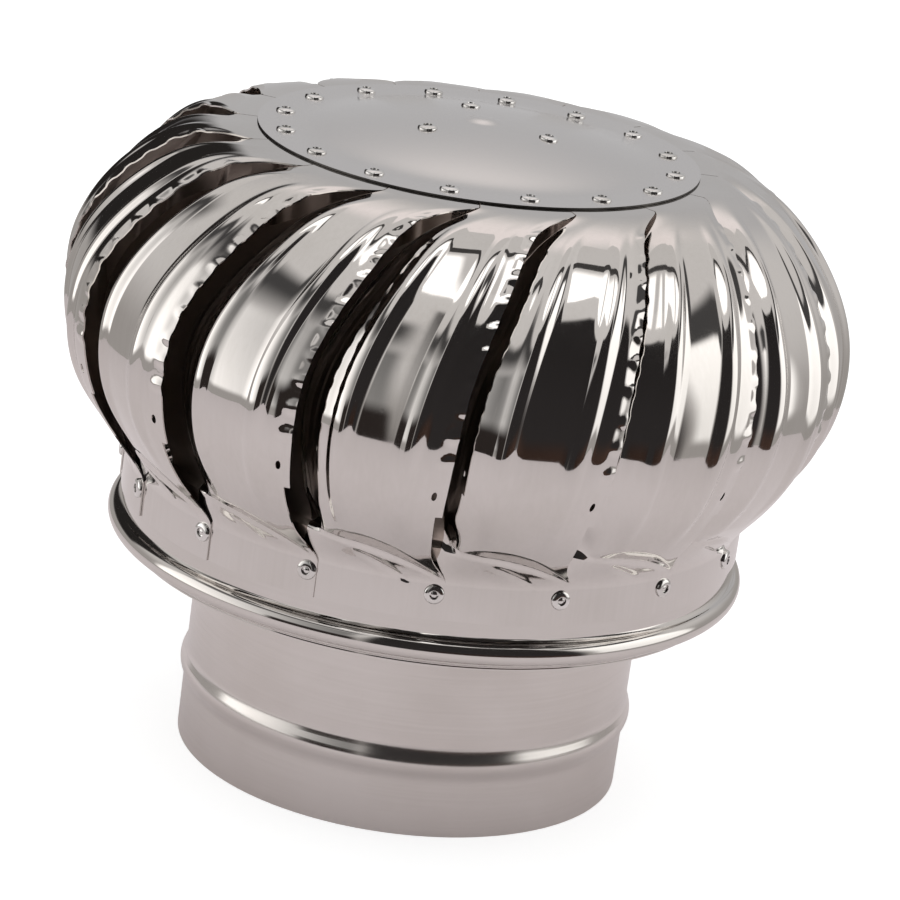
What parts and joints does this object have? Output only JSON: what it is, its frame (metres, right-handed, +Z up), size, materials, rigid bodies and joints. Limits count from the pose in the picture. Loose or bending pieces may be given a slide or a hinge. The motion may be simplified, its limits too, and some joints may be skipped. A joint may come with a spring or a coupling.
{
  "type": "roof turbine ventilator",
  "caption": "Wind-driven round roof ventilator head with curved overlapping blades, turning on ball bearings above a beaded duct neck.",
  "frame": {"origin": "centre of the neck's bottom rim, where the duct meets the neck", "axes": "+Z up along the shaft, from the duct to the top disc; X and Y across the neck, with -Y towards the viewer of the picture"},
  "size_m": [0.2608, 0.2608, 0.2214],
  "materials": {
    "polished_blades": "mirror polished stainless sheet",
    "head_sheet": "polished stainless sheet, slightly softer than the blades",
    "neck_sheet": "satin polished stainless sheet",
    "rivets": "polished stainless blind rivets",
    "pressed_brackets": "plain stainless pressings",
    "bearing_steel": "ground bearing steel",
    "shaft_hardware": "plain turned steel"
  },
  "bodies": {
    "base": {"bearing_spacer_tube": "shaft_hardware", "bracket_lower_nut": "shaft_hardware", "bracket_upper_nut": "shaft_hardware", "bracket_washers": "shaft_hardware", "lower_bearing_inner_race": "bearing_steel", "lower_bearing_shim": "shaft_hardware", "neck_bracket_rivets": "rivets", "neck_collar": "neck_sheet", "neck_cross_bracket": "pressed_brackets", "rotor_shaft": "shaft_hardware", "shaft_top_nut": "shaft_hardware", "top_bearing_washer": "shaft_hardware", "upper_bearing_inner_race": "bearing_steel"},
    "rotor": {"blade_01": "polished_blades", "blade_02": "polished_blades", "blade_03": "polished_blades", "blade_04": "polished_blades", "blade_05": "polished_blades", "blade_06": "polished_blades", "blade_07": "polished_blades", "blade_08": "polished_blades", "blade_09": "polished_blades", "blade_10": "polished_blades", "blade_11": "polished_blades", "blade_12": "polished_blades", "blade_13": "polished_blades", "blade_14": "polished_blades", "blade_15": "polished_blades", "blade_16": "polished_blades", "disc_rim_rivets": "rivets", "head_spider": "pressed_brackets", "lower_bearing_balls": "bearing_steel", "lower_bearing_cage": "bearing_steel", "lower_bearing_housing": "pressed_brackets", "lower_bearing_outer_race": "bearing_steel", "lower_bearing_shields": "bearing_steel", "lower_housing_rivets": "rivets", "lower_ring": "head_sheet", "ring_rivets": "rivets", "top_bearing_housing": "pressed_brackets", "top_disc": "head_sheet", "top_housing_rivets": "rivets", "upper_bearing_balls": "bearing_steel", "upper_bearing_cage": "bearing_steel", "upper_bearing_outer_race": "bearing_steel", "upper_bearing_shields": "bearing_steel"}
  },
  "joints": [
    {"name": "head_spin", "type": "hinge", "parent": "base", "child": "rotor", "pos_m": [0, 0, 0.15], "axis": [0, 0, 1], "continuous": true}
  ]
}
